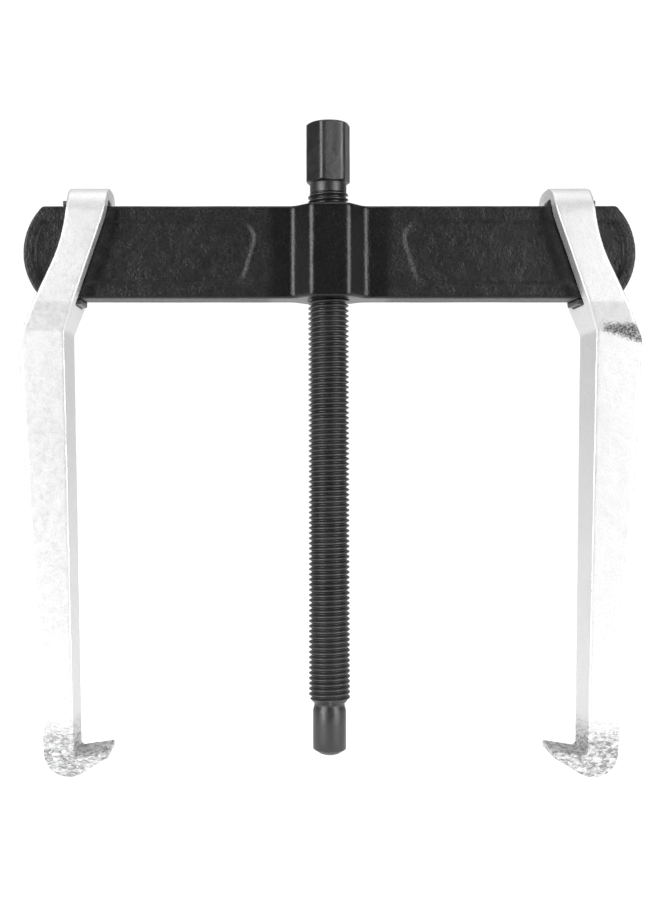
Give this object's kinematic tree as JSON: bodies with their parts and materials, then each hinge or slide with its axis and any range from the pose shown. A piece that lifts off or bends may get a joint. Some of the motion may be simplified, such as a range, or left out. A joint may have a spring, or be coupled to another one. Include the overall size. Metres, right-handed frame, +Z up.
{
  "type": "gear puller",
  "caption": "Two-jaw sliding puller: a flat crossbeam carries a threaded forcing screw with a hexagon head, and a long hooked jaw slides along each arm.",
  "frame": {"origin": "on the forcing screw's axis, level with the lowest point of the two hooks that it stands on", "axes": "+Z up along the forcing screw towards its hexagon, X along the crossbeam, Y through its thickness with the front at -Y"},
  "size_m": [0.2392, 0.031, 0.253],
  "materials": {
    "beam_paint": "semi-gloss black paint over a forged skin",
    "blackened_steel": "oiled black oxide on machined steel",
    "ball_steel": "polished hardened steel",
    "jaw_plating": "bright zinc plating over a forged skin",
    "spring_steel": "blued spring steel"
  },
  "bodies": {
    "crossbeam": {"crossbeam": "beam_paint"},
    "left_jaw": {"left_jaw": "jaw_plating", "left_spring_clip": "spring_steel"},
    "right_jaw": {"right_jaw": "jaw_plating", "right_spring_clip": "spring_steel"},
    "ball": {"pressing_ball": "ball_steel"},
    "screw": {"forcing_screw": "blackened_steel"}
  },
  "joints": [
    {"name": "left_jaw_slide", "type": "slide", "parent": "crossbeam", "child": "left_jaw", "axis": [-1, 0, 0], "range_m": [-0.068, 0.006]},
    {"name": "right_jaw_slide", "type": "slide", "parent": "crossbeam", "child": "right_jaw", "axis": [1, 0, 0], "range_m": [-0.068, 0.006]},
    {"name": "screw_feed", "type": "slide", "parent": "crossbeam", "child": "ball", "axis": [0, 0, 1], "range_m": [-0.009, 0.15]},
    {"name": "screw_turn", "type": "hinge", "parent": "ball", "child": "screw", "pos_m": [0, 0, 0.00805], "axis": [0, 0, 1], "range_deg": [-1621, 27001]}
  ],
  "couplings": [
    {"joint": "screw_turn", "follows": "screw_feed", "rad_per_m": 3141.6}
  ]
}
